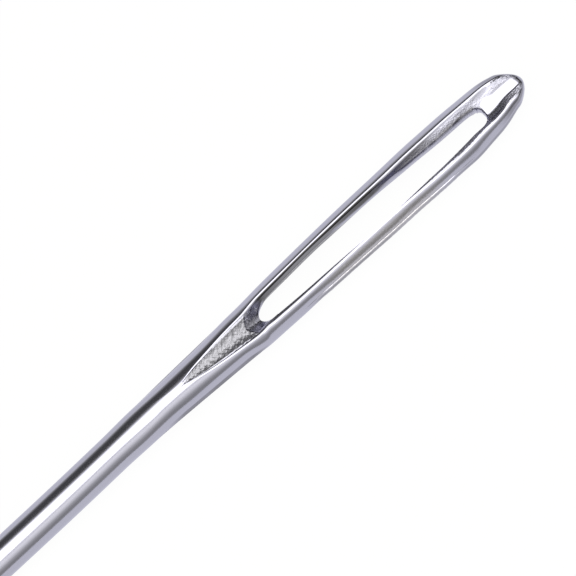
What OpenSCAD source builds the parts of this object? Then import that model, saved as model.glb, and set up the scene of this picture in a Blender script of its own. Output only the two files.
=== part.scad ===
// Yarn needle with a blunt point and a long eye.
// It is one length of steel wire. The dies press one end of it wider and sink a gutter in its
// upper and lower face, and the thin web left between the two gutters is punched out as the eye.
// It is drawn as two solids that meet face to face where the pressed head starts.
// X runs along the needle with the eye at +X, Z is up, the table is at z = 0 and the eye faces up.

/* [Wire] */
// Length of the whole needle
needle_length = 70; // [64:0.5:90]
// Diameter of the wire, which the shank keeps
wire_d = 2; // [1.7:0.05:2.4]

/* [Point] */
// Length of the taper, with its rounded end
point_length = 16; // [10:0.5:20]
// Radius of the rounded end
point_r = 0.45; // [0.3:0.05:0.6]

/* [Head] */
// Length of the end that is pressed wider than the wire
head_length = 28.9; // [28:0.1:34]
// Width of the head at its widest place
head_w = 3.22; // [3:0.02:3.6]
// Distance from the widest place to the end of the head
nose_length = 6.3; // [5:0.1:8]
// Thickness that the head thins to at its end
nose_t = 1.6; // [1.2:0.05:1.65]

/* [Gutters] */
// Distance from the gutters' pointed start to the end of the head
gutter_length = 23.9; // [22.5:0.1:25.5]
// Share of the head's width that lies between a gutter's two crests
gutter_share = 0.63; // [0.58:0.01:0.66]
// Depth of a gutter below its crests where the leaf-shaped run-in ends
run_in_depth = 0.31; // [0.2:0.01:0.4]
// Thickness of the punched web along the first half of the eye
web_t = 0.16; // [0.1:0.01:0.4]
// Thickness of the web beyond the eye
nose_web_t = 0.82; // [0.7:0.01:0.9]

/* [Eye] */
// Length of the opening
eye_length = 15.9; // [14:0.1:17]
// Width of the opening at its widest place
eye_w = 1.46; // [1:0.02:1.6]
// Distance from the opening to the end of the head
eye_setback = 2.57; // [2.2:0.01:3]

/* [Hidden] */
$fn = 96;
wire_r = wire_d / 2;
end_x = needle_length / 2;
// The run-in drops to the eye's depth over this length, and the step bows this far back
step_length = 0.85;
step_bow = 0.45;
eye_start = eye_setback + eye_length;
// Half the width of the flat place where the gutters start, and the length of their opening out
seed_w = 0.08;
flare = 2.5;
// What is left of a gutter's depth at the very end
rim_h = 0.04;
// Points along a taper, along half a gutter, along a side, and round the eye
taper_points = 24;
gutter_points = 7;
side_points = 13;
eye_points = 72;

// Runs smoothly from 0 at a to 1 at b
function ease(a, b, u) = let (s = min(max((u - a) / (b - a), 0), 1)) s * s * (3 - 2 * s);

// Everything below is a function of u, the distance from the end of the head.
// Share of the way to the end, counted from the widest place
function nose(u) = max(0, 1 - u / nose_length);

// Share of the pressed width, with a soft start where the shank ends
function swell(u) =
    let (
        s = max(0, u - nose_length) / (head_length - nose_length),
        f = 1 - pow(min(1, s), 1.3),
        soft = 0.04
    )
    (sqrt(f * f + soft * soft) - soft) / (sqrt(1 + soft * soft) - soft);

function half_w(u) =
    (wire_r + (head_w / 2 - wire_r) * swell(u)) * pow(max(0, 1 - pow(nose(u), 2.5)), 0.42);

function half_t(u) =
    (wire_r - (wire_r - nose_t / 2) * (1 - ease(0, nose_length / 2, u)))
    * sqrt(max(0, 1 - pow(nose(u), 24)));

// Half the distance between the crests
function crest_y(u) =
    let (
        run = max(0, gutter_length - u),
        share = (gutter_share + 0.1 * pow(nose(u), 2)) * (1 - exp(-run / flare))
    )
    max(seed_w * half_w(u) / wire_r, half_w(u) * share);

function crest_z(u) = half_t(u) * sqrt(1 - pow(crest_y(u) / half_w(u), 2));

// Height of a gutter's floor, where s runs from -1 to 1 between the crests
function floor_z(u, s) =
    let (
        run = min(1, max(0, gutter_length - u) / (gutter_length - eye_start - step_length)),
        run_in = run > 0 ? crest_z(u) - run_in_depth * run : half_t(u),
        step = 1 - ease(eye_start, eye_start + step_length, u + step_bow * s * s),
        fade = 1 - ease(eye_setback + 1, eye_start - 5, u),
        web = (web_t + (nose_web_t - web_t) * fade) / 2,
        last = 1 - ease(0, eye_setback, u),
        floor = run_in + (web - run_in) * step
    )
    floor + (crest_z(u) - rim_h * half_t(u) - floor) * last;

// A gutter is a shallow trough in the run-in and at the end, with steep sides at the eye
function steep(u) =
    2 + 2.8 * (1 - ease(eye_start - 0.6, eye_start + step_length, u))
    - 2.8 * (1 - ease(eye_setback + 1, eye_start - 3, u));

// Height of a gutter's surface
function gutter_z(u, s) =
    let (low = floor_z(u, s))
    low + (crest_z(u) - low) * pow(abs(s), steep(u));

// One section across the head, counter-clockwise as seen from the eye end
function section(u) =
    let (
        x = end_x - u,
        a = half_w(u),
        b = half_t(u),
        c = crest_y(u),
        lean = asin(c / a),
        trough = [for (i = [0 : 2 * gutter_points - 1]) sin(90 - 90 * i / gutter_points)],
        side = [for (i = [0 : side_points - 1]) lean + (180 - 2 * lean) * i / side_points]
    )
    concat(
        [for (s = trough) [x, c * s, gutter_z(u, s)]],
        [for (q = side) [x, -a * sin(q), b * cos(q)]],
        [for (s = trough) [x, -c * s, -gutter_z(u, s)]],
        [for (q = side) [x, a * sin(q), -b * cos(q)]]
    );

// Where the sections stand: closest at the step into the eye and round the end
stations = concat(
    [for (i = [0 : 7]) head_length + (gutter_length - head_length) * i / 8],
    [for (i = [0 : 9]) gutter_length + (eye_start + step_length - gutter_length) * i / 10],
    [for (i = [0 : 11]) eye_start + step_length - (step_length + step_bow) * i / 12],
    [for (i = [0 : 19]) eye_start - step_bow + (nose_length - eye_start + step_bow) * i / 20],
    [for (i = [0 : 16]) nose_length * (1 - sin(i * 5))],
    [nose_length * (1 - sin(84))]
);

function ring_size() = 4 * gutter_points + 2 * side_points;

// Skin over the sections: a flat start, strips of triangles, and a fan round the last point
module skin(sections, tip) {
    n = ring_size();
    m = len(sections);
    points = concat([for (s = sections) each s], [tip]);
    faces = concat(
        [[for (j = [0 : n - 1]) j]],
        [for (i = [0 : m - 2], j = [0 : n - 1])
            [i * n + j, (i + 1) * n + j, (i + 1) * n + (j + 1) % n]],
        [for (i = [0 : m - 2], j = [0 : n - 1])
            [i * n + j, (i + 1) * n + (j + 1) % n, i * n + (j + 1) % n]],
        [for (j = [0 : n - 1]) [(m - 1) * n + j, m * n, (m - 1) * n + (j + 1) % n]]
    );
    polyhedron(points = points, faces = faces);
}

module pressed_end() {
    skin([for (u = stations) section(u)], [end_x, 0, 0]);
}

// Punch for the eye: a long oval that is fuller than an ellipse at both ends
module eye_punch() {
    reach = eye_length / 2;
    oval = [for (i = [0 : eye_points - 1])
        let (q = 360 * i / eye_points)
        [reach * cos(q), eye_w / 2 * sign(sin(q)) * pow(abs(sin(q)), 0.4)]];
    translate([end_x - eye_setback - reach, 0, -wire_d])
        linear_extrude(2 * wire_d)
            polygon(oval);
}

module head() {
    color([0.78, 0.78, 0.82])
        translate([0, 0, wire_r])
            difference() {
                pressed_end();
                eye_punch();
            }
}

// Shank and point in one turned solid
module shank() {
    start = needle_length - head_length;
    taper = [for (i = [1 : taper_points])
        let (s = i / taper_points, d = point_r + (point_length - point_r) * s)
        [point_r + (wire_r - point_r) * sin(90 * s), d]];
    cap = [for (i = [0 : 8]) [point_r * sin(i * 11.25), point_r * (1 - cos(i * 11.25))]];
    color([0.78, 0.78, 0.82])
        translate([-end_x, 0, wire_r])
            rotate([0, 90, 0])
                rotate_extrude()
                    polygon(concat(cap, taper, [[wire_r, start], [0, start]]));
}

shank();
head();
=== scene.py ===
import math

import bpy
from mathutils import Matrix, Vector, noise


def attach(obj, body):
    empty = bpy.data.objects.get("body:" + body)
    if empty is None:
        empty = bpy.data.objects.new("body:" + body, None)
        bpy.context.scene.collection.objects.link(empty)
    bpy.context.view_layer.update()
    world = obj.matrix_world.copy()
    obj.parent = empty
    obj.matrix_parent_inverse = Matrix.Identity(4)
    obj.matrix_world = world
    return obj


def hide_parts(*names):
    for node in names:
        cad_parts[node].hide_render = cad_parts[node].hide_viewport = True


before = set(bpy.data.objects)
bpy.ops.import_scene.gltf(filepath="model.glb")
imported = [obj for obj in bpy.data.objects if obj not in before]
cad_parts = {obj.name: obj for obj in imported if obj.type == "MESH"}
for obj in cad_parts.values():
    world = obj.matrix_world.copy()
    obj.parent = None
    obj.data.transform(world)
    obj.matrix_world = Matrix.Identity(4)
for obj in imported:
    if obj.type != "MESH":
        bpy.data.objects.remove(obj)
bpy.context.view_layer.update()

MM = 0.001

# ---- Sizes, as in the part's source; the head is a touch narrower, to stay inside the solid's box ----
NEEDLE_LENGTH = 70.0
WIRE_R = 1.0
POINT_LENGTH = 16.0
POINT_R = 0.45
HEAD_LENGTH = 28.9
HEAD_W = 3.21
NOSE_LENGTH = 6.3
NOSE_T = 1.6
GUTTER_LENGTH = 23.9
GUTTER_SHARE = 0.63
RUN_IN_DEPTH = 0.31
WEB_T = 0.16
NOSE_WEB_T = 0.82
EYE_SETBACK = 2.57
EYE_LENGTH = 15.9
FLARE = 2.5
SEED_W = 0.08
RIM_H = 0.04

# ---- Places along the needle; the opening ends a little sooner than the solid's ----
END_X = NEEDLE_LENGTH / 2
EYE_START = EYE_SETBACK + EYE_LENGTH
EYE_FROM = END_X - EYE_START
EYE_SOONER = 0.13
EYE_TO = END_X - EYE_SETBACK - EYE_SOONER
LEAF_FROM = END_X - GUTTER_LENGTH
HEAD_FROM = END_X - HEAD_LENGTH
NEARLY_END = END_X - 0.001

# Counted from the end: where the slopes beside the eye get steep, up to where they and the thin web stay so,
# and where both have changed into the trough behind the eye
STEEP_FROM = EYE_START - 0.6
STEEP_TO = EYE_START - 3
THIN_WEB_TO = EYE_START - 5
TROUGH_FROM = EYE_SETBACK + 1

# ---- How the photographed needle leaves the even shape ----
# Its sides are keyed 1 for +Y and -1 for -Y. A stretch is given by where it starts, is full, begins to fade
# and ends, and a bulge by its height, its centre and its width.

# The head's outline: how full its end is, how the head bulges, and how the end is worn, counted from the end
END_POWER, END_ROUND = 3.4, 0.56
HEAD_BULGES = [(0.035, 18.0, 3.0), (-0.025, 26.3, 1.8)]
WORN_END = [(-0.042, 3.3, 1.2), (0.055, 0.75, 0.45)]

# How far the pressed wire wanders sideways from a straight line
SWAY = [
    (0.081, 8.8, 4.4),
    (-0.028, 16.1, 1.0),
    (0.034, 22.0, 3.2),
    (-0.064, 29.8, 1.7),
    (0.06, 33.7, 0.9),
    (-0.04, 35.0, 0.4),
]

# The crests lie this much nearer to the middle along a stretch, and swing in and out a little
CREST_IN = {1: 0.05, -1: 0.19}
CREST_IN_ALONG = {1: (11.8, 13.5, 25, 29), -1: (15.9, 16.7, 24.5, 31.5)}
CREST_BULGES = {
    1: [(-0.02, 19.8, 2.6), (0.045, 30.2, 1.3), (-0.03, 32.3, 1.0)],
    -1: [(-0.048, 24.5, 4.0), (-0.08, 32.3, 1.8)],
}

# The gutter's slopes: how much steeper than a trough they are at the eye, and where they are steeper still
TROUGH_POWER = 2
EYE_STEEPER = 2.8
LEAF_STEEPER = {1: 0.0, -1: 0.8}
STEEPER_BULGES = {1: [(0.8, 28.0, 3.0), (2.0, 20.3, 2.6)], -1: [(2.0, 23.0, 4.0)]}
END_STEEPER_ALONG = (30.8, 32.3)

# The trough behind the eye leans towards -Y
END_TILT = 0.2
END_TILT_ALONG = (31.3, 32.3, 34.2, 34.95)

# The opening: its widest place, how it narrows from there, and what each of its sides adds
EYE_HALF_W = 0.714
EYE_WIDEST_X = 24.6
EYE_NARROWS, EYE_NARROWS_OVER, EYE_NARROWS_POWER = 0.174, 7.05, 2.1
EYE_BULGES = {1: [(0.14, 19.8, 4.5)], -1: [(0.10, 23.9, 3.0), (0.06, 19, 3)]}
EYE_STEPS = {1: [(-0.04, 31, 32)], -1: [(0.10, 21.5, 29.5), (-0.035, 28.5, 31), (0.06, 31, 32)]}

# How far its two ends take to round off, at what share of that the corner stands, and how square each is
START_CAP = 1.05
FAR_CAP = 0.65
CORNER = 0.564
CORNER_SOFTNESS = 1.6
FAR_POWER = {1: 2, -1: 3}

# The step from the leaf down to the web, with an upper edge that is pointed like an arrow
STEP_LENGTH = 0.85
STEP_BOW = 0.45
STEP_POINT = 1.3
STEP_EDGE = 0.02

# The punch's cut: on the +Y side of the eye's first half it goes straight up to the crest, first from the
# thin web and then from the top of a wall
CUT_ALONG = (16.9, 17.6, 25.2, 27.5)
WALL_FROM, WALL_FULL = 21.3, 23.3
WALL_H = 0.30

# How far the lower die sat outwards of the upper one, along the +Y side of the eye
LOWER_DIE_OFF = 0.045
LOWER_DIE_ALONG = (16.9, 17.6, 20.5, 23.5)

# Rounding of the crests beside the leaf, what the eye adds to it, and its limit as a share of half the width
CREST_R = {1: 0.13, -1: 0.19}
CREST_MORE = {1: 0.04, -1: 0.07}
CREST_MORE_ALONG = {1: (15.5, 17, END_X, END_X + 1), -1: (16.05, 16.3, 28, 31)}
CREST_LESS = {1: [(-0.02, 19.8, 2.6)], -1: []}
CREST_SHARE = 0.3

# How far outside the edge of the eye a crest starts at least, and the narrowest slope drawn as a curve
CREST_CLEAR = 0.012
THINNEST_SLOPE = 0.02

# The die parting: a trimmed edge this high over the middle plane, how far it stands out and where, over what
# heights it fades above and turns its corner, how much the face below it leans, and how uneven it is
LEDGE_Z = 0.331
LEDGE_OUT = 0.03
LEDGE_ALONG = (18.3, 20.5, 28.6, 30.6)
LEDGE_FADE = 0.12
LEDGE_CORNER = 0.004
LEDGE_LEAN = 0.012
LEDGE_UNEVEN = 0.5

# How deep the dies press the flanks in, beside the leaf and, on the -Y side, at both ends of the eye
LEAF_PRESS = {1: 0.07, -1: 0.078}
LEAF_PRESS_ALONG = {1: (7.5, 10.5, 13, 15.5), -1: (7.5, 10.5, 14.6, 16.1)}
NEAR_PRESS, NEAR_PRESS_ALONG = 0.03, (16.1, 16.5, 19, 21)
FAR_PRESS, FAR_PRESS_ALONG = 0.035, (24.5, 27, 32, 34)

# The fine groove on the flanks beside the leaf
GROOVE_ALONG = (9.4, 10.4, 15.0, 16.0)
GROOVE_DEPTH, GROOVE_Z, GROOVE_W = 0.014, 0.20, 0.03

# The trough behind the eye comes up to the rim over this length, in a bow, after a lip at the opening
RIM_FROM, RIM_RISE = 0.1, 1.9
RIM_BOW, RIM_BOW_W = 1.1, 0.5
LIP = 0.19

# How strongly the last sections bow, so that the worn rim follows the outline of the end
END_BOW = 0.35

# Depth of the hammering on the leaf and of the tearing at the eye, and the sharpest edge shown as smooth
HAMMER_DEPTH = 0.018
TEAR_DEPTH = 0.022
SMOOTH_ANGLE = math.radians(48)

# ---- Columns on each side: to the edge of the eye, up to the crest, over it, and down the flank ----
CORE, SLOPE, CREST = 12, 8, 9
UPPER_FLANK = 8
LEDGE_FROM_ANGLE = math.radians(64)
LEDGE_ANGLES = (65.5, 67.8, 69.4, 70.2, 70.75, 71.0, 71.25, 72, 74, 76.5, 78.5, 80.5, 85, 90)
FLANK = UPPER_FLANK + len(LEDGE_ANGLES)
HALF = CORE + SLOPE + CREST + FLANK - 1
CORE_SHARE = 0.62

# On the shank they stand as on a crest at this share of half the width, reached over this length
SHANK_CREST, SHANK_CREST_OVER = 0.5, 4
CREST_INNER, CREST_OUTER = 0.85, 1.15


def ease(a, b, u):
    s = min(max((u - a) / (b - a), 0.0), 1.0)
    return s * s * (3 - 2 * s)


def mix(a, b, share):
    return a + (b - a) * share


def swelling(x, centre, width):
    return math.exp(-(((x - centre) / width) ** 2))


def bulges(x, places):
    return sum(height * swelling(x, centre, width) for height, centre, width in places)


def stretch(x, along):
    """1 along a stretch of the needle and 0 elsewhere, with soft ends."""
    start, full, fading, end = along
    return ease(start, full, x) * (1 - ease(fading, end, x))


def blunt_min(a, b, width):
    """The lower of two heights, with the corner between them rounded over that width."""
    if width <= 0:
        return min(a, b)
    h = max(width - abs(a - b), 0.0) / width
    return min(a, b) - h * h * width / 4


# ---- The needle's own laws; u is the distance from the eye end, side is 1 for +Y and -1 for -Y ----
def nose(u):
    """Share of the way to the end, counted from the widest place."""
    return max(0.0, 1 - u / NOSE_LENGTH)


def swell(u):
    """Share of the pressed width, with a soft start where the shank ends."""
    s = max(0.0, u - NOSE_LENGTH) / (HEAD_LENGTH - NOSE_LENGTH)
    full = 1 - min(1.0, s) ** 1.3
    soft = 0.04
    return (math.hypot(full, soft) - soft) / (math.hypot(1, soft) - soft)


def wire_radius(x):
    """Radius of the shank and of the point."""
    d = x + END_X
    if d < POINT_R:
        return math.sqrt(max(0.0, POINT_R**2 - (POINT_R - d) ** 2))
    s = min(1.0, (d - POINT_R) / (POINT_LENGTH - POINT_R))
    return POINT_R + (WIRE_R - POINT_R) * math.sin(math.pi / 2 * s)


def half_w(x):
    if x < HEAD_FROM:
        return wire_radius(x)
    u = END_X - x
    full = WIRE_R + (HEAD_W / 2 - WIRE_R) * swell(u) + bulges(x, HEAD_BULGES)
    end = max(0.0, 1 - nose(u) ** END_POWER) ** END_ROUND
    return full * end * (1 + bulges(u, WORN_END))


def half_t(x):
    if x < HEAD_FROM:
        return wire_radius(x)
    u = END_X - x
    thinned = WIRE_R - (WIRE_R - NOSE_T / 2) * (1 - ease(0, NOSE_LENGTH / 2, u))
    return thinned * math.sqrt(max(0.0, 1 - nose(u) ** 24))


def outside_z(x, y):
    """Height of the needle's outside at y, as if it had no gutter."""
    a = half_w(x)
    return half_t(x) * math.sqrt(max(0.0, 1 - (y / a) ** 2)) if a > 0 else 0.0


def crest_y(x, side=0):
    """Distance from the middle to a crest of the gutter; the dies sat a little to one side."""
    u = END_X - x
    run = max(0.0, GUTTER_LENGTH - u)
    share = (GUTTER_SHARE + 0.1 * nose(u) ** 2) * (1 - math.exp(-run / FLARE))
    off = bulges(x, CREST_BULGES[side]) - CREST_IN[side] * stretch(x, CREST_IN_ALONG[side]) if side else 0.0
    return max(SEED_W * half_w(x), half_w(x) * share + off)


def step_top(s):
    """Where the leaf's floor ends, with s from 0 in the middle to 1 at a crest."""
    return EYE_FROM - STEP_LENGTH + STEP_BOW * s**STEP_POINT


def floor_z(x, y, s, side):
    """Height of the gutter's floor at y, with s from 0 in the middle to 1 at a crest."""
    u = END_X - x
    top = outside_z(x, crest_y(x))
    run = min(1.0, max(0.0, GUTTER_LENGTH - u) / (GUTTER_LENGTH - EYE_START - STEP_LENGTH))
    leaf = top - RUN_IN_DEPTH * run
    fade = 1 - ease(TROUGH_FROM, THIN_WEB_TO, u)
    web = mix(WEB_T, NOSE_WEB_T, fade) / 2
    foot = EYE_FROM + near_bow(y, side)
    slope = web + (leaf - web) * max(0.0, (foot - x) / (foot - step_top(s)))
    floor = max(blunt_min(leaf, slope, STEP_EDGE), web)
    last = 1 - ease(RIM_FROM, RIM_RISE, u - RIM_BOW * min(y, RIM_BOW_W) ** 2)
    return mix(floor, top - RIM_H * half_t(x) * ease(0, RIM_FROM, u), last)


def steepness(x, side):
    """Power of the curve from the gutter's floor up to its crest."""
    u = END_X - x
    into_eye = 1 - ease(STEEP_FROM, EYE_START + STEP_LENGTH, u)
    past_eye = 1 - ease(TROUGH_FROM, STEEP_TO, u)
    more = LEAF_STEEPER[side] * (1 - into_eye) + bulges(x, STEEPER_BULGES[side])
    return TROUGH_POWER + EYE_STEEPER * (into_eye - past_eye) + more + ease(*END_STEEPER_ALONG, x)


def gutter_z(x, y, side):
    """Height of the gutter's surface at y."""
    crest = crest_y(x, side)
    s = min(1.0, y / crest)
    tilt = END_TILT * stretch(x, END_TILT_ALONG)
    low = floor_z(x, y, s, side) + side * tilt * y * (1 - s * s)
    lip = 0.0
    past = x - EYE_TO + far_bow(y, side)
    if 0 <= past < LIP:
        lip = LIP * (1 - math.sqrt(1 - (1 - past / LIP) ** 2)) * (1 - ease(0.85, 1.0, y / FAR_SIDE[side]))
    return low + (outside_z(x, crest) - low) * s ** steepness(x, side) - lip


def eye_side(x, side):
    """Half the width of the opening away from its ends."""
    even = EYE_HALF_W - EYE_NARROWS * (abs(x - EYE_WIDEST_X) / EYE_NARROWS_OVER) ** EYE_NARROWS_POWER
    steps = sum(height * ease(start, full, x) for height, start, full in EYE_STEPS[side])
    return even + bulges(x, EYE_BULGES[side]) + steps


def eye_half_w(x, side):
    """Half the width of the opening."""
    near = min(1.0, max(0.0, (x - EYE_FROM) / START_CAP))
    far = min(1.0, max(0.0, (EYE_TO - x) / FAR_CAP))
    power = FAR_POWER[side]
    caps = math.sqrt(1 - (1 - near) ** 2) * (1 - (1 - far) ** power) ** (1 / power)
    return eye_side(x, side) * caps


def cap_bow(share, cap, power):
    """How far the eye's rounded end lies behind its outermost place, levelling off beyond its corner."""
    limit = (1 - (1 - CORNER) ** power) ** (1 / power)
    share = blunt_min(share, limit, CORNER_SOFTNESS * (1 - limit))
    return cap * (1 - max(0.0, 1 - share**power) ** (1 / power))


def near_bow(y, side):
    return cap_bow(y / NEAR_SIDE[side], START_CAP, 2)


def far_bow(y, side):
    return cap_bow(y / FAR_SIDE[side], FAR_CAP, FAR_POWER[side])


# The opening's half width a little inside each end, and where its two ends have their corners
NEAR_INSIDE, FAR_INSIDE = 0.4, 0.3
NEAR_SIDE = {side: eye_side(EYE_FROM + NEAR_INSIDE, side) for side in (1, -1)}
FAR_SIDE = {side: eye_side(EYE_TO - FAR_INSIDE, side) for side in (1, -1)}
NEAR_X = EYE_FROM + CORNER * START_CAP
FAR_X = EYE_TO - CORNER * FAR_CAP


def spread(start, stop, count):
    return [start + (stop - start) * k / count for k in range(count)]


# Rings stand close together this far before and behind the eye's first corners and its last ones
BEFORE_NEAR, BEHIND_NEAR = 1.6, 0.9
BEFORE_FAR, BEHIND_FAR = 0.6, 0.18

# Over these lengths the rings lose the bow of the eye's ends, before the eye and behind it
UNBOWED_BEFORE, UNBOWED_BEHIND = 2.2, 1.3

# How many rings there are, from the point to the end
POINT_RINGS, TAPER_RINGS, SHANK_RINGS, HEAD_RINGS = 8, 30, 24, 36
LEAF_RINGS, STEP_RINGS, NEAR_RINGS, EYE_RINGS, FAR_RINGS = 84, 44, 18, 112, 14
LIP_RINGS, END_RINGS = 9, 37


def quarter(k, count):
    return math.pi / 2 * k / count


def stations():
    """(x at the side, bow towards the eye's start, bow towards its far end) for each ring, and the two rings
    that the eye lies between."""
    taper_from = -END_X + POINT_R
    taper_to = -END_X + POINT_LENGTH
    rings = [(-END_X + POINT_R * (1 - math.cos(quarter(k, POINT_RINGS))), 0, 0) for k in range(POINT_RINGS)]
    plain = spread(taper_from, taper_to, TAPER_RINGS) + spread(taper_to, HEAD_FROM, SHANK_RINGS)
    rings += [(x, 0, 0) for x in plain + spread(HEAD_FROM, LEAF_FROM, HEAD_RINGS)]
    leaf = spread(LEAF_FROM, NEAR_X - BEFORE_NEAR, LEAF_RINGS)
    for x in leaf + spread(NEAR_X - BEFORE_NEAR, NEAR_X, STEP_RINGS):
        rings.append((x, 1 - ease(0, UNBOWED_BEFORE, NEAR_X - x), 0))
    first = len(rings)
    inside = spread(NEAR_X, NEAR_X + BEHIND_NEAR, NEAR_RINGS)
    inside += spread(NEAR_X + BEHIND_NEAR, FAR_X - BEFORE_FAR, EYE_RINGS)
    for x in inside + spread(FAR_X - BEFORE_FAR, FAR_X, FAR_RINGS):
        rings.append((x, 1 - ease(0, BEHIND_NEAR, x - NEAR_X), 1 - ease(0, BEFORE_FAR, FAR_X - x)))
    last = len(rings)
    left = END_X - FAR_X - BEHIND_FAR
    beyond = spread(FAR_X, FAR_X + BEHIND_FAR, LIP_RINGS)
    beyond += [END_X - left * (1 - math.sin(quarter(k, END_RINGS))) for k in range(END_RINGS + 1)]
    rings += [(x, 0, 1 - ease(0, UNBOWED_BEHIND, x - FAR_X)) for x in beyond]
    return rings, first, last


def ring_x(ring, y, side):
    """Place of a ring at y, bowed like the ends of the eye."""
    x, near, far = ring
    back = near * (CORNER * START_CAP - near_bow(y, side))
    return x - back + far * (CORNER * FAR_CAP - far_bow(y, side))


# ---- Sections ----
def crest_radius(x, side):
    """Rounding that tumbling leaves on a crest."""
    by_eye = CREST_MORE[side] * stretch(x, CREST_MORE_ALONG[side]) + bulges(x, CREST_LESS[side])
    return min(CREST_R[side] + by_eye, CREST_SHARE * half_w(x))


FLANK_ROUNDS = 5
BALL_HALVINGS = 22


def nearest_flank(x, y, z):
    """Angle of the flank's place nearest to a point inside it, and how far it is."""
    a, b = half_w(x), half_t(x)
    t = math.atan2(y / a, z / b)
    for _ in range(FLANK_ROUNDS):
        slip = (y - a * math.sin(t)) * a * math.cos(t) - (z - b * math.cos(t)) * b * math.sin(t)
        turn = (b * b - a * a) * math.cos(2 * t) - y * a * math.sin(t) - z * b * math.cos(t)
        t -= slip / turn if abs(turn) > 1e-9 else 0.0
    return t, math.hypot(y - a * math.sin(t), z - b * math.cos(t))


def ball_in_gutter(x, y, side, r):
    """Centre of a ball of radius r under the gutter's surface at y, and the surface's lean there."""
    step = 1e-4
    rise = (gutter_z(x, y + step, side) - gutter_z(x, y - step, side)) / (2 * step)
    lean = math.atan(rise)
    return y + r * math.sin(lean), gutter_z(x, y, side) - r * math.cos(lean), -lean


def rounded_crest(x, side, edge):
    """(centre y, centre z, radius, angle where it leaves the gutter, angle where it meets the flank, place on
    the flank) of the ball that touches both the gutter and the flank."""
    crest = crest_y(x, side)
    r = crest_radius(x, side)
    low, high = 0.02 * crest, crest - 2e-4
    for _ in range(BALL_HALVINGS):
        y = (low + high) / 2
        cy, cz, lean = ball_in_gutter(x, y, side, r)
        t, away = nearest_flank(x, cy, cz)
        if away > r:
            low = y
        else:
            high = y
    meets = math.atan2(math.sin(t) / half_w(x), math.cos(t) / half_t(x))
    innermost = edge + CREST_CLEAR
    if cy + r * math.sin(lean) < innermost:
        lean = math.asin(max(-0.999, min(0.999, (innermost - cy) / r)))
    return cy, cz, r, lean, meets, t


def ledge_share(x, side):
    """1 along the eye on the -Y side, where the dies' trimmed edge stands out."""
    return stretch(x, LEDGE_ALONG) if side < 0 else 0.0


def flank_point(x, side, t, t_from):
    """Place on the flank, with the trimmed edge that the dies leave along its middle."""
    y, z = half_w(x) * math.sin(t), half_t(x) * math.cos(t)
    ledge = ledge_share(x, side)
    out = LEDGE_OUT * ledge * (1 + LEDGE_UNEVEN * noise.noise(Vector((x * 6, side * 3, 1))))
    if z > LEDGE_Z:
        y -= out * math.exp(-(z - LEDGE_Z) / LEDGE_FADE)
    else:
        flat = half_w(x) * math.sqrt(1 - (LEDGE_Z / half_t(x)) ** 2) if LEDGE_Z < half_t(x) else y
        corner = 1 - math.exp(-(LEDGE_Z - z) / LEDGE_CORNER)
        y = mix(y, flat + out * corner + LEDGE_LEAN * (1 - z / LEDGE_Z), ledge)
    y -= GROOVE_DEPTH * stretch(x, GROOVE_ALONG) * swelling(z, GROOVE_Z, GROOVE_W)
    in_by = pressed_in(x, side, t, t_from)
    return y - in_by * math.sin(t), z - in_by * math.cos(t)


def pressed_in(x, side, t, t_from):
    """How far the dies have pressed the flank in, from the crest down to the parting: flat beside the leaf,
    and a little hollow on the -Y side of both ends of the eye."""
    if t <= t_from:
        return 0.0
    w = min(1.0, (t - t_from) / (1.5 - t_from))
    flat = ease(0, 0.75, w) * (1 - ease(1.44, 1.565, t))
    by_leaf = LEAF_PRESS[side] * stretch(x, LEAF_PRESS_ALONG[side])
    if side > 0:
        return flat * by_leaf
    by_eye = NEAR_PRESS * stretch(x, NEAR_PRESS_ALONG) + FAR_PRESS * stretch(x, FAR_PRESS_ALONG)
    return flat * by_leaf + math.sin(math.pi * w) ** 2 * by_eye


def cut_share(x, side):
    """1 on the +Y side of the eye's first half, where the punch has cut straight up to the crest."""
    return stretch(x, CUT_ALONG) if side > 0 else 0.0


def section(x, side, in_eye):
    """(y, z) of the columns from the middle out to the side; in the eye the first ones span the opening."""
    a = half_w(x)
    if a <= 0:
        return [(0.0, 0.0)] * (HALF + 1)
    if x <= LEAF_FROM:
        crest = mix(crest_y(x), SHANK_CREST * a, ease(0, SHANK_CREST_OVER, LEAF_FROM - x))
        core, inner, outer = CORE_SHARE * crest, CREST_INNER * crest, CREST_OUTER * crest
        ys = spread(0.0, core, CORE) + spread(core, inner, SLOPE) + spread(inner, outer, CREST)
        points = [(y, outside_z(x, y)) for y in ys]
        t_from = math.asin(min(1.0, outer / a))
    else:
        crest = crest_y(x, side)
        near = mix(CORE_SHARE, NEAR_SHARE[side], 1 - ease(0, 1, NEAR_X - x))
        far = mix(CORE_SHARE, FAR_SHARE[side], 1 - ease(0, 1, x - FAR_X))
        edge = eye_half_w(x, side) if in_eye else crest * (near if x < NEAR_X else far)
        cy, cz, r, lean, meets, t_from = rounded_crest(x, side, edge)
        start_y, start_z = cy + r * math.sin(lean), cz + r * math.cos(lean)
        cut = cut_share(x, side)
        cut_z = mix(WEB_T / 2, WALL_H, ease(WALL_FROM, WALL_FULL, x))
        edge_z = mix(min(gutter_z(x, edge, side), start_z), cut_z, cut)
        points = [(edge * j / CORE, gutter_z(x, edge * j / CORE, side)) for j in range(CORE)]
        points.append((edge, edge_z))
        for k in range(1, SLOPE):
            y = mix(edge, start_y, k / SLOPE)
            straight = mix(edge_z, start_z, k / SLOPE)
            curved = min(max(gutter_z(x, y, side), edge_z), start_z)
            points.append((y, mix(curved, straight, cut) if start_y - edge > THINNEST_SLOPE else straight))
        for k in range(CREST):
            angle = mix(lean, meets, k / CREST)
            points.append((cy + r * math.sin(angle), cz + r * math.cos(angle)))
    turns = spread(t_from, LEDGE_FROM_ANGLE, UPPER_FLANK)
    turns += [math.radians(angle) for angle in LEDGE_ANGLES]
    points += [flank_point(x, side, t, t_from) for t in turns]
    return points


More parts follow.
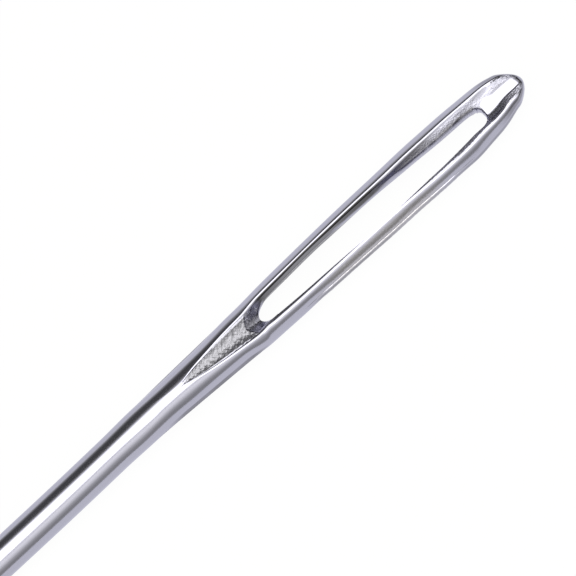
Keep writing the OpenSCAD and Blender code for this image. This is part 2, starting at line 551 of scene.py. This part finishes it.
# The edge of the eye at its corners, as a share of the way to the crest
NEAR_SHARE = {side: eye_half_w(NEAR_X, side) / crest_y(NEAR_X, side) for side in (1, -1)}
FAR_SHARE = {side: eye_half_w(FAR_X, side) / crest_y(FAR_X, side) for side in (1, -1)}


# ---- Hand work: picking, and the steps from a flat sheet to the closed needle ----
def only(obj):
    """Leaves that object alone selected and active."""
    for other in bpy.context.selected_objects:
        other.select_set(False)
    obj.select_set(True)
    bpy.context.view_layer.objects.active = obj


def edit(obj, mode):
    """Opens an object for picking vertices, edges or faces, with nothing picked yet."""
    only(obj)
    bpy.ops.object.mode_set(mode="EDIT")
    bpy.ops.mesh.select_mode(type=mode)
    bpy.ops.mesh.select_all(action="DESELECT")


def done():
    bpy.ops.object.mode_set(mode="OBJECT")


def flat_sheet(rings, columns):
    """A flat grid with one row for each ring and one column for each line along the needle, and the ring and
    column of each of its vertices."""
    bpy.ops.object.select_all(action="DESELECT")
    bpy.ops.mesh.primitive_grid_add(x_subdivisions=rings - 1, y_subdivisions=columns, size=1)
    sheet = bpy.context.object
    cells = {}
    for v in sheet.data.vertices:
        i = round((v.co.x + 0.5) * (rings - 1))
        j = round((v.co.y + 0.5) * columns) - columns // 2
        cells[v.index] = (i, j)
    return sheet, cells


def press_sheet(sheet, cells, rings, first, last):
    """Lays the flat sheet over the needle's upper half."""
    made = {}
    for i, ring in enumerate(rings):
        for side in (1, -1):
            in_eye = first <= i <= last
            points = section(min(ring[0], END_X), side, in_eye)
            for j, (y, z) in enumerate(points):
                x = ring[0]
                if j < CORE and x > LEAF_FROM:
                    x = min(ring_x(ring, y, side), END_X)
                    z = gutter_z(x, y, side) if half_w(x) > 0 else 0.0
                made[i, j * side] = (x, y, 0.0 if j == HALF else max(z, 0.0))
    for index, (i, j) in cells.items():
        x, y, z = made[i, j]
        sheet.data.vertices[index].co = (x * MM, math.copysign(y, j) * MM, z * MM)


def punch_eye(sheet, cells, first, last):
    """Takes out the faces of the opening."""
    inside = {v for v, (i, j) in cells.items() if first <= i <= last and abs(j) <= CORE}
    # Faces picked in code are kept only when faces are what is picked
    edit(sheet, "FACE")
    done()
    for face in sheet.data.polygons:
        face.select = all(v in inside for v in face.vertices)
    bpy.ops.object.mode_set(mode="EDIT")
    bpy.ops.mesh.delete(type="FACE")
    done()


MIRROR_MERGE = 1e-8
SEAM_MERGE = 2e-8


def close_needle(sheet):
    """Mirrors the upper half down, merges the seams, and bridges the wall of the eye."""
    only(sheet)
    mirror = sheet.modifiers.new("lower_half", "MIRROR")
    mirror.use_axis = (False, False, True)
    mirror.merge_threshold = MIRROR_MERGE
    bpy.ops.object.modifier_apply(modifier=mirror.name)
    edit(sheet, "VERT")
    bpy.ops.mesh.select_all(action="SELECT")
    bpy.ops.mesh.remove_doubles(threshold=SEAM_MERGE)
    bpy.ops.mesh.select_all(action="DESELECT")
    bpy.ops.mesh.select_mode(type="EDGE")
    bpy.ops.mesh.select_non_manifold(
        extend=False, use_wire=False, use_boundary=True, use_multi_face=False,
        use_non_contiguous=False, use_verts=False,
    )
    bpy.ops.mesh.bridge_edge_loops(number_cuts=3)
    bpy.ops.mesh.select_all(action="SELECT")
    bpy.ops.mesh.normals_make_consistent(inside=False)
    done()


rings, first_ring, last_ring = stations()
steel, cells = flat_sheet(len(rings), 2 * HALF)
steel.name = "steel_needle"
press_sheet(steel, cells, rings, first_ring, last_ring)
punch_eye(steel, cells, first_ring, last_ring)
close_needle(steel)


# ---- Wear, die marks and painted shade; each share is 1 where the mark is full and 0 where there is none ----
# Soft edges of the marks, in millimetres along the needle or as a share of the way out to a crest
LEAF_BEGINS = (0.15, 0.7)
LEAF_SIDES = (0.76, 0.93)
LEAF_ON_STEP = 0.4
STEP_BEGINS = (-0.03, 0.06)
TROUGH_MIDDLE = (0.3, 0.5)
TROUGH_MIDDLE_FROM = (32.2, 32.6)
RUB_FROM = (0.66, 0.8)
RUB_ALONG = (18.5, 22, 26.5, 29.5)
TORN_BY_EYE = (27.0, 29.5, 32.0, 32.6)
TORN_BEHIND = (33.2, 33.6, 34.6, 34.85)

# Painted shade standing in for dark reflections, with its strength: on the slopes, on the brink of the eye,
# in a ring at the end, and on the parting
PAINTED_SHADE_SLOPES = [(1.3, (16.5, 17.4, 24.9, 26.8)), (0.55, (26, 28, 28.7, 30.2))]
BRINK, BRINK_W, BRINK_ALONG = 0.9, 0.05, (28.5, 29.5, 32, 32.2)
ON_MINUS_Y = 0.25
END_RING, END_RING_Z = 0.5, (0.26, 0.34, 0.52, 0.62)
PARTING_BY_LEAF, PARTING_LEAF_ALONG = 0.6, (9, 10.4, 15.2, 16.2)
PARTING_BY_EYE, PARTING_EYE_FROM = 0.9, (18.6, 20.4)
PARTING_PALES, PARTING_PALES_FROM = 0.5, (23, 26)
PARTING_ENDS = (33.6, 34.6)


def leaf_share(x, y, z):
    """1 on the hammered floor of the run-in, 0 elsewhere."""
    if abs(z) < 0.2 or not LEAF_FROM < x < EYE_FROM + 0.2:
        return 0.0
    s = abs(y) / crest_y(x, math.copysign(1, y))
    along = ease(*LEAF_BEGINS, x - LEAF_FROM)
    across = 1 - ease(*LEAF_SIDES, s)
    return along * across * mix(LEAF_ON_STEP, 1, ease(*STEP_BEGINS, step_top(s) - x))


def gutter_share(x, y, z):
    """1 inside the gutters and the eye, 0 on the outer faces."""
    if not LEAF_FROM < x < NEARLY_END:
        return 0.0
    s = abs(y) / crest_y(x)
    trough = mix(1, ease(*TROUGH_MIDDLE, s), ease(*TROUGH_MIDDLE_FROM, x))
    return (1 - ease(0.82, 0.97, s)) * ease(0, 0.6, x - LEAF_FROM) * trough


def rub_share(x, y, z):
    """1 on the -Y flank along the eye, where the needle has been rubbed dull."""
    s = abs(y) / half_w(x) if y < 0 and abs(x) < NEARLY_END else 0.0
    return ease(*RUB_FROM, s) * stretch(x, RUB_ALONG)


def torn_share(x, y, z):
    """1 on the inner slopes near the far end of the eye, which the punch has torn a little."""
    if not LEAF_FROM < x < NEARLY_END:
        return 0.0
    s = abs(y) / crest_y(x)
    by_eye = stretch(x, TORN_BY_EYE) * ease(0.12, 0.3, abs(z)) * ease(0.3, 0.5, s)
    beyond = stretch(x, TORN_BEHIND) * ease(0.36 if y < 0 else 0.3, 0.5, s)
    return (by_eye + beyond) * (1 - ease(0.82, 0.95, s))


def painted_shade_share(x, y, z):
    """1 where shade is painted into the steel's colour as dark reflections: on the gutters' slopes, along the
    dies' parting, and in a ring at the end.
    """
    if not 9 < x < NEARLY_END:
        return 0.0
    side, y, z = math.copysign(1, y), abs(y), abs(z)
    u = END_X - x
    if y < crest_y(x) and u > 0.25:
        edge_z = gutter_z(x, eye_half_w(x, side), side)
        wall = ease(WALL_FROM, WALL_FULL, x) * (1 - ease(0.22, 0.32, z))
        start_wall = (1 - ease(edge_z - 0.08, edge_z - 0.01, z)) * (1 - ease(16.9, 17.5, x))
        deep = ease(0.02, 0.07, outside_z(x, crest_y(x)) - z) * (1 - max(wall, start_wall))
        slopes = sum(strength * stretch(x, along) for strength, along in PAINTED_SHADE_SLOPES)
        brink = BRINK * swelling(z, edge_z, BRINK_W) * stretch(x, BRINK_ALONG)
        return max(deep * slopes, brink) * (1.0 if side > 0 else ON_MINUS_Y)
    ring = END_RING * stretch(z, END_RING_Z) * (1 - ease(1.4, 2.8, u))
    parting = PARTING_BY_LEAF * stretch(x, PARTING_LEAF_ALONG) + PARTING_BY_EYE * ease(*PARTING_EYE_FROM, x)
    parting *= (1 - PARTING_PALES * ease(*PARTING_PALES_FROM, x)) * (1 - ease(*PARTING_ENDS, x))
    return max(ring, parting * (1 - ease(0.17, 0.28, z)))


# Dents to the millimetre across and along a blow of the hammer, and tears along the needle and across it
BLOW_ACROSS, BLOW_ALONG = 4.0, 1.6
TEARS_ALONG, TEARS_ACROSS = 6, 14


def hammered(x, y):
    """Unevenness of the die's hammered face, from blows that slant both ways."""
    one = noise.noise(Vector(((x + y) * BLOW_ACROSS, (x - y) * BLOW_ALONG, 2)))
    other = noise.noise(Vector(((x + y) * BLOW_ALONG, (x - y) * BLOW_ACROSS, 9)))
    return one + other


def torn_metal(x, y, z):
    """Unevenness of the torn metal."""
    return noise.noise(Vector((x * TEARS_ALONG, y * TEARS_ACROSS, z * TEARS_ACROSS)))


def lower_die_off(x, y, z):
    """How far the lower die has set the inner half of a +Y side outwards."""
    if not y > 0 > z:
        return 0.0
    inner = 1 - ease(0.05, 0.4, y - crest_y(x))
    return LOWER_DIE_OFF * stretch(x, LOWER_DIE_ALONG) * inner * ease(0.08, 0.35, -z)


def rounded_end(x, y):
    """Bows the last sections, so that the worn rim follows the outline of the end."""
    u = END_X - x
    bow = END_BOW * (1 - ease(0.1, 1.3, u))
    if bow <= 0 or u <= 0:
        return x, y
    fullness = u / half_w(x) ** 2
    y *= math.sqrt(fullness / (fullness - bow))
    return x - bow * y * y, y


# What the steel's material reads on each place of the needle
SHARES = {
    "leaf": leaf_share,
    "gutter": gutter_share,
    "rub": rub_share,
    "torn": torn_share,
    # painted shade: where the steel's colour is darkened to stand in for dark reflections
    "tarnish": painted_shade_share,
}

shares = {name: [] for name in SHARES}
for v in steel.data.vertices:
    x, y, z = (c / MM for c in v.co)
    for name, share in SHARES.items():
        shares[name].append(share(x, y, z))
    hammering = HAMMER_DEPTH * hammered(x, y) * 2 * max(0.0, leaf_share(x, y, z) - 0.5)
    tearing = TEAR_DEPTH * torn_metal(x, y, z) * torn_share(x, y, z)
    y += lower_die_off(x, y, z)
    z += math.copysign(hammering + tearing, z)
    moved = bulges(x, SWAY)
    # The -Y side wanders outwards no further than the solid's box
    if y < 0 and x < NEARLY_END:
        y *= (blunt_min(half_w(x) - moved, HEAD_W / 2, 0.05) + moved) / half_w(x)
    x, y = rounded_end(x, y)
    v.co = (x * MM, (y + moved) * MM, (z + WIRE_R) * MM)
for name, values in shares.items():
    steel.data.attributes.new(name, "FLOAT", "POINT").data.foreach_set("value", values)
only(steel)
bpy.ops.object.shade_smooth_by_angle(angle=SMOOTH_ANGLE)

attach(steel, "root")
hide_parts("shank", "head")


# ---- Shader maths ----
class Socket:
    """One output of a node, which can be worked with as a number."""

    def __init__(self, tree, output):
        self.tree, self.output = tree, output

    def maths(self, operation, *others, swapped=False):
        terms = [self, *others]
        if swapped:
            terms.reverse()
        return add_node(self.tree, "ShaderNodeMath", {"operation": operation}, dict(enumerate(terms)))

    def __add__(self, other):
        return self.maths("ADD", other)

    def __sub__(self, other):
        return self.maths("SUBTRACT", other)

    def __mul__(self, other):
        return self.maths("MULTIPLY", other)

    def __truediv__(self, other):
        return self.maths("DIVIDE", other)

    def __radd__(self, other):
        return self.maths("ADD", other, swapped=True)

    def __rsub__(self, other):
        return self.maths("SUBTRACT", other, swapped=True)

    def __rmul__(self, other):
        return self.maths("MULTIPLY", other, swapped=True)

    def __rtruediv__(self, other):
        return self.maths("DIVIDE", other, swapped=True)


def add_node(tree, kind, settings=None, values=None, out=0):
    """Adds a node with its settings made first, then the values or links of its sockets."""
    made = tree.nodes.new(kind)
    for name, value in (settings or {}).items():
        if name == "stops":
            ramp = made.color_ramp
            while len(ramp.elements) < len(value):
                ramp.elements.new(0.5)
            for stop, (place, colour) in zip(ramp.elements, value):
                stop.position = place
                stop.color = (*colour, 1)
        else:
            setattr(made, name, value)
    for name, value in (values or {}).items():
        if isinstance(value, Socket):
            tree.links.new(value.output, made.inputs[name])
        else:
            made.inputs[name].default_value = value
    return Socket(tree, made.outputs[out]) if made.outputs else None


def new_material(name):
    material = bpy.data.materials.new(name)
    material.use_nodes = True
    material.node_tree.nodes.clear()
    return material, material.node_tree


# ---- Materials ----
STEEL_COLOUR = (0.44, 0.437, 0.53, 1)
RUBBED_COLOUR = (0.46, 0.445, 0.47, 1)
LEAF_COLOUR = (0.32, 0.318, 0.36, 1)
# Painted shade: the near-black mixed into the steel to stand in for dark reflections
PAINTED_SHADE_COLOUR = (0.090, 0.087, 0.088, 1)
EDGE_TINT = (0.90, 0.90, 0.96, 1)

# How much of the rubbed colour shows, and how patchy the painted shade is
RUB_TINT = 0.8
PATCH_CONTRAST, PATCH_LEAST = 0.8, 0.5

# How fine the drawing lines, the grain and the patches of painted shade are, and the size of a stroke in
# metres
LINE_SCALE = (500, 9000, 9000)
GRAIN_SCALE = 9000
PATCH_SCALE = 1500
STROKE_SIZE = (0.00045, 0.00016, 0.001)
STROKE_SLANT = 45

# Relief of the surface in metres: drawing lines, die strokes, and the grain of each finish
LINE_RELIEF = 0.0000005
STROKE_RELIEF = 0.000055
LEAF_GRAIN = 0.000008
GUTTER_GRAIN = 0.000006
RUB_GRAIN = 0.000010
TORN_GRAIN = 0.000045

# How rough polished steel is, and what each finish adds
POLISHED = 0.13
LINE_ROUGH = 0.06
LEAF_ROUGH = 0.19
GUTTER_ROUGH = 0.08
RUB_ROUGH = 0.06
TORN_ROUGH = 0.14


def blend(tree, share, one, other):
    """One colour where the share is 0, the other where it is 1."""
    return add_node(tree, "ShaderNodeMix", {"data_type": "RGBA"}, {"Factor": share, 6: one, 7: other}, out=2)


def unevenness(tree, place, scale, detail):
    return add_node(tree, "ShaderNodeTexNoise", values={"Vector": place, "Scale": scale, "Detail": detail})


def stroke_noise(tree, place, degrees):
    """Short strokes, slanting this much from the needle's axis."""
    slanted = add_node(
        tree, "ShaderNodeMapping", {"vector_type": "TEXTURE"},
        {"Vector": place, "Rotation": (0, 0, math.radians(degrees)), "Scale": STROKE_SIZE},
    )
    return unevenness(tree, slanted, 1, 1)


def polished_steel():
    material, tree = new_material("polished_steel")
    place = add_node(tree, "ShaderNodeTexCoord", out="Object")
    leaf, gutter, rub, torn, tarnish = (
        add_node(tree, "ShaderNodeAttribute", {"attribute_name": name}, out="Fac") for name in SHARES
    )
    along = add_node(tree, "ShaderNodeMapping", values={"Vector": place, "Scale": LINE_SCALE})
    lines = unevenness(tree, along, 1, 3)
    grain = unevenness(tree, place, GRAIN_SCALE, 3)
    strokes = stroke_noise(tree, place, STROKE_SLANT) + stroke_noise(tree, place, -STROKE_SLANT)
    grains = leaf * LEAF_GRAIN + gutter * GUTTER_GRAIN + rub * RUB_GRAIN + torn * TORN_GRAIN
    height = lines * LINE_RELIEF + strokes * leaf * STROKE_RELIEF
    height = height + grain * grains
    bump = add_node(tree, "ShaderNodeBump", values={"Strength": 1, "Distance": 1, "Height": height})
    rough = lines * LINE_ROUGH + leaf * LEAF_ROUGH + gutter * GUTTER_ROUGH
    rough = rough + rub * RUB_ROUGH + torn * TORN_ROUGH + POLISHED
    colour = blend(tree, rub * RUB_TINT, STEEL_COLOUR, RUBBED_COLOUR)
    colour = blend(tree, leaf, colour, LEAF_COLOUR)
    patches = unevenness(tree, place, PATCH_SCALE, 4) * PATCH_CONTRAST + PATCH_LEAST
    # Painted shade: the steel's colour darkened in patches, standing in for dark reflections
    colour = blend(tree, tarnish * patches.maths("MINIMUM", 1), colour, PAINTED_SHADE_COLOUR)
    finish = add_node(
        tree, "ShaderNodeBsdfPrincipled",
        values={
            "Base Color": colour, "Metallic": 1, "Roughness": rough, "Normal": bump,
            "Specular Tint": EDGE_TINT,
        },
    )
    add_node(tree, "ShaderNodeOutputMaterial", values={"Surface": finish})
    return material


steel.data.materials.append(polished_steel())


PAPER_COLOUR = (0.86, 0.86, 0.86, 1)
WHITE = (1, 1, 1, 1)
FLOOR_SEEN_WHITE = 0.96
FLOOR_SIZE = 6


def pale_floor():
    """Paper that takes the needle's shadow and is seen, also in the steel, as nearly white."""
    material, tree = new_material("pale_floor")
    path = {name: add_node(tree, "ShaderNodeLightPath", out=name)
            for name in ("Is Camera Ray", "Is Glossy Ray", "Is Transmission Ray")}
    seen = path["Is Camera Ray"].maths("MAXIMUM", path["Is Glossy Ray"])
    seen = seen.maths("MAXIMUM", path["Is Transmission Ray"])
    paper = add_node(tree, "ShaderNodeBsdfDiffuse", values={"Color": PAPER_COLOUR})
    white = add_node(tree, "ShaderNodeEmission", values={"Color": WHITE, "Strength": 1})
    both = add_node(tree, "ShaderNodeMixShader", values={0: seen * FLOOR_SEEN_WHITE, 1: paper, 2: white})
    add_node(tree, "ShaderNodeOutputMaterial", values={"Surface": both})
    return material


bpy.ops.object.select_all(action="DESELECT")
bpy.ops.mesh.primitive_plane_add(size=FLOOR_SIZE)
floor = bpy.context.object
floor.name = "floor"
floor.data.materials.append(pale_floor())

# ---- Studio: a tent of cloth and card round the needle ----
TILT = math.radians(14)
TOWARDS_VIEW = Vector((0, -math.sin(TILT), math.cos(TILT)))
ACROSS_VIEW = Vector((0, -math.cos(TILT), -math.sin(TILT)))
TENT_R = 0.3
TENT_LENGTH = 1.2

# Brightness of the tent by its angle round the needle, in degrees from the camera's side
TENT_CLOTH = [
    (-180, 1.0),
    (-104, 0.80),
    (-94, 0.30),
    (-84, 0.10),
    (-58, 0.10),
    (-47.5, 0.35),
    (-35.5, 2.9),
    (2, 2.9),
    (5, 1.1),
    (9, 1.1),
    (13, 1.50),
    (22, 1.50),
    (34, 1.10),
    (46, 0.65),
    (60, 0.42),
    (76, 0.42),
    (100, 0.80),
    (180, 1.0),
]
BRIGHTEST = 3.0
CLOTH_TINT = (1, 0.995, 0.93)

# Beyond the softbox the cloth darkens over some length to its end wall, brighter at the eye's end
SOFTBOX_HALF_LENGTH = 0.22
DARKENS_OVER = 0.12
POINT_WALL = 0.06
EYE_WALL = 0.22


def reach(tree, place, direction):
    """How far a place lies in a direction."""
    return add_node(
        tree, "ShaderNodeVectorMath", {"operation": "DOT_PRODUCT"}, {0: place, 1: direction}, out="Value"
    )


def tent_cloth():
    material, tree = new_material("tent_cloth")
    place = add_node(tree, "ShaderNodeTexCoord", out="Object")
    towards = reach(tree, place, TOWARDS_VIEW)
    across = reach(tree, place, ACROSS_VIEW)
    turn = across.maths("ARCTAN2", towards) / (2 * math.pi) + 0.5
    stops = [
        (angle / 360 + 0.5, [level / BRIGHTEST * part for part in CLOTH_TINT]) for angle, level in TENT_CLOTH
    ]
    shade = add_node(tree, "ShaderNodeValToRGB", {"stops": stops}, {"Fac": turn})
    along = add_node(tree, "ShaderNodeSeparateXYZ", values={"Vector": place}, out="X")
    past = (along.maths("ABSOLUTE") - SOFTBOX_HALF_LENGTH) / DARKENS_OVER
    past = past.maths("MINIMUM", 1).maths("MAXIMUM", 0)
    end_wall = (along.maths("SIGN") + 1) * ((EYE_WALL - POINT_WALL) / 2) + POINT_WALL
    dimmed = add_node(
        tree, "ShaderNodeVectorMath", {"operation": "SCALE"}, {0: shade, "Scale": 1 - past + past * end_wall}
    )
    glow = add_node(tree, "ShaderNodeEmission", values={"Color": dimmed, "Strength": BRIGHTEST})
    add_node(tree, "ShaderNodeOutputMaterial", values={"Surface": glow})
    return material


bpy.ops.object.select_all(action="DESELECT")
bpy.ops.mesh.primitive_cylinder_add(
    vertices=96, radius=TENT_R, depth=TENT_LENGTH, end_fill_type="NGON", rotation=(0, math.pi / 2, 0)
)
tent = bpy.context.object
bpy.ops.object.transform_apply(location=True, rotation=True, scale=True)
tent.name = "light_tent"
tent.data.materials.append(tent_cloth())
tent.visible_camera = False
tent.visible_shadow = False

world = bpy.data.worlds.new("white_room")
bpy.context.scene.world = world
world.use_nodes = True
world.node_tree.nodes["Background"].inputs["Color"].default_value = WHITE
world.node_tree.nodes["Background"].inputs["Strength"].default_value = 1

# ---- Camera, at the photograph's angle ----
VIEW_MIDDLE = Vector((18.705, 0, WIRE_R)) - 0.229 * ACROSS_VIEW
VIEW_WIDTH = 29.922
LENS = 200
SENSOR = 36
distance = VIEW_WIDTH * LENS / SENSOR

# How the needle slants through the picture: its share of the picture's right and of its up
SLANT_RIGHT, SLANT_UP = 0.73407, 0.67908
right = Vector((SLANT_RIGHT, 0, 0)) + SLANT_UP * ACROSS_VIEW
up = Vector((SLANT_UP, 0, 0)) - SLANT_RIGHT * ACROSS_VIEW

lens = bpy.data.cameras.new("camera")
lens.lens = LENS
lens.sensor_width = SENSOR
lens.clip_start = 0.01
lens.clip_end = 10
camera = bpy.data.objects.new("camera", lens)
bpy.context.scene.collection.objects.link(camera)
turned = camera.matrix_world.copy()
for row in range(3):
    turned[row][0] = right[row]
    turned[row][1] = up[row]
    turned[row][2] = TOWARDS_VIEW[row]
    turned[row][3] = (VIEW_MIDDLE[row] + TOWARDS_VIEW[row] * distance) * MM
camera.matrix_world = turned
bpy.context.scene.camera = camera

bpy.context.scene.view_settings.view_transform = "Standard"
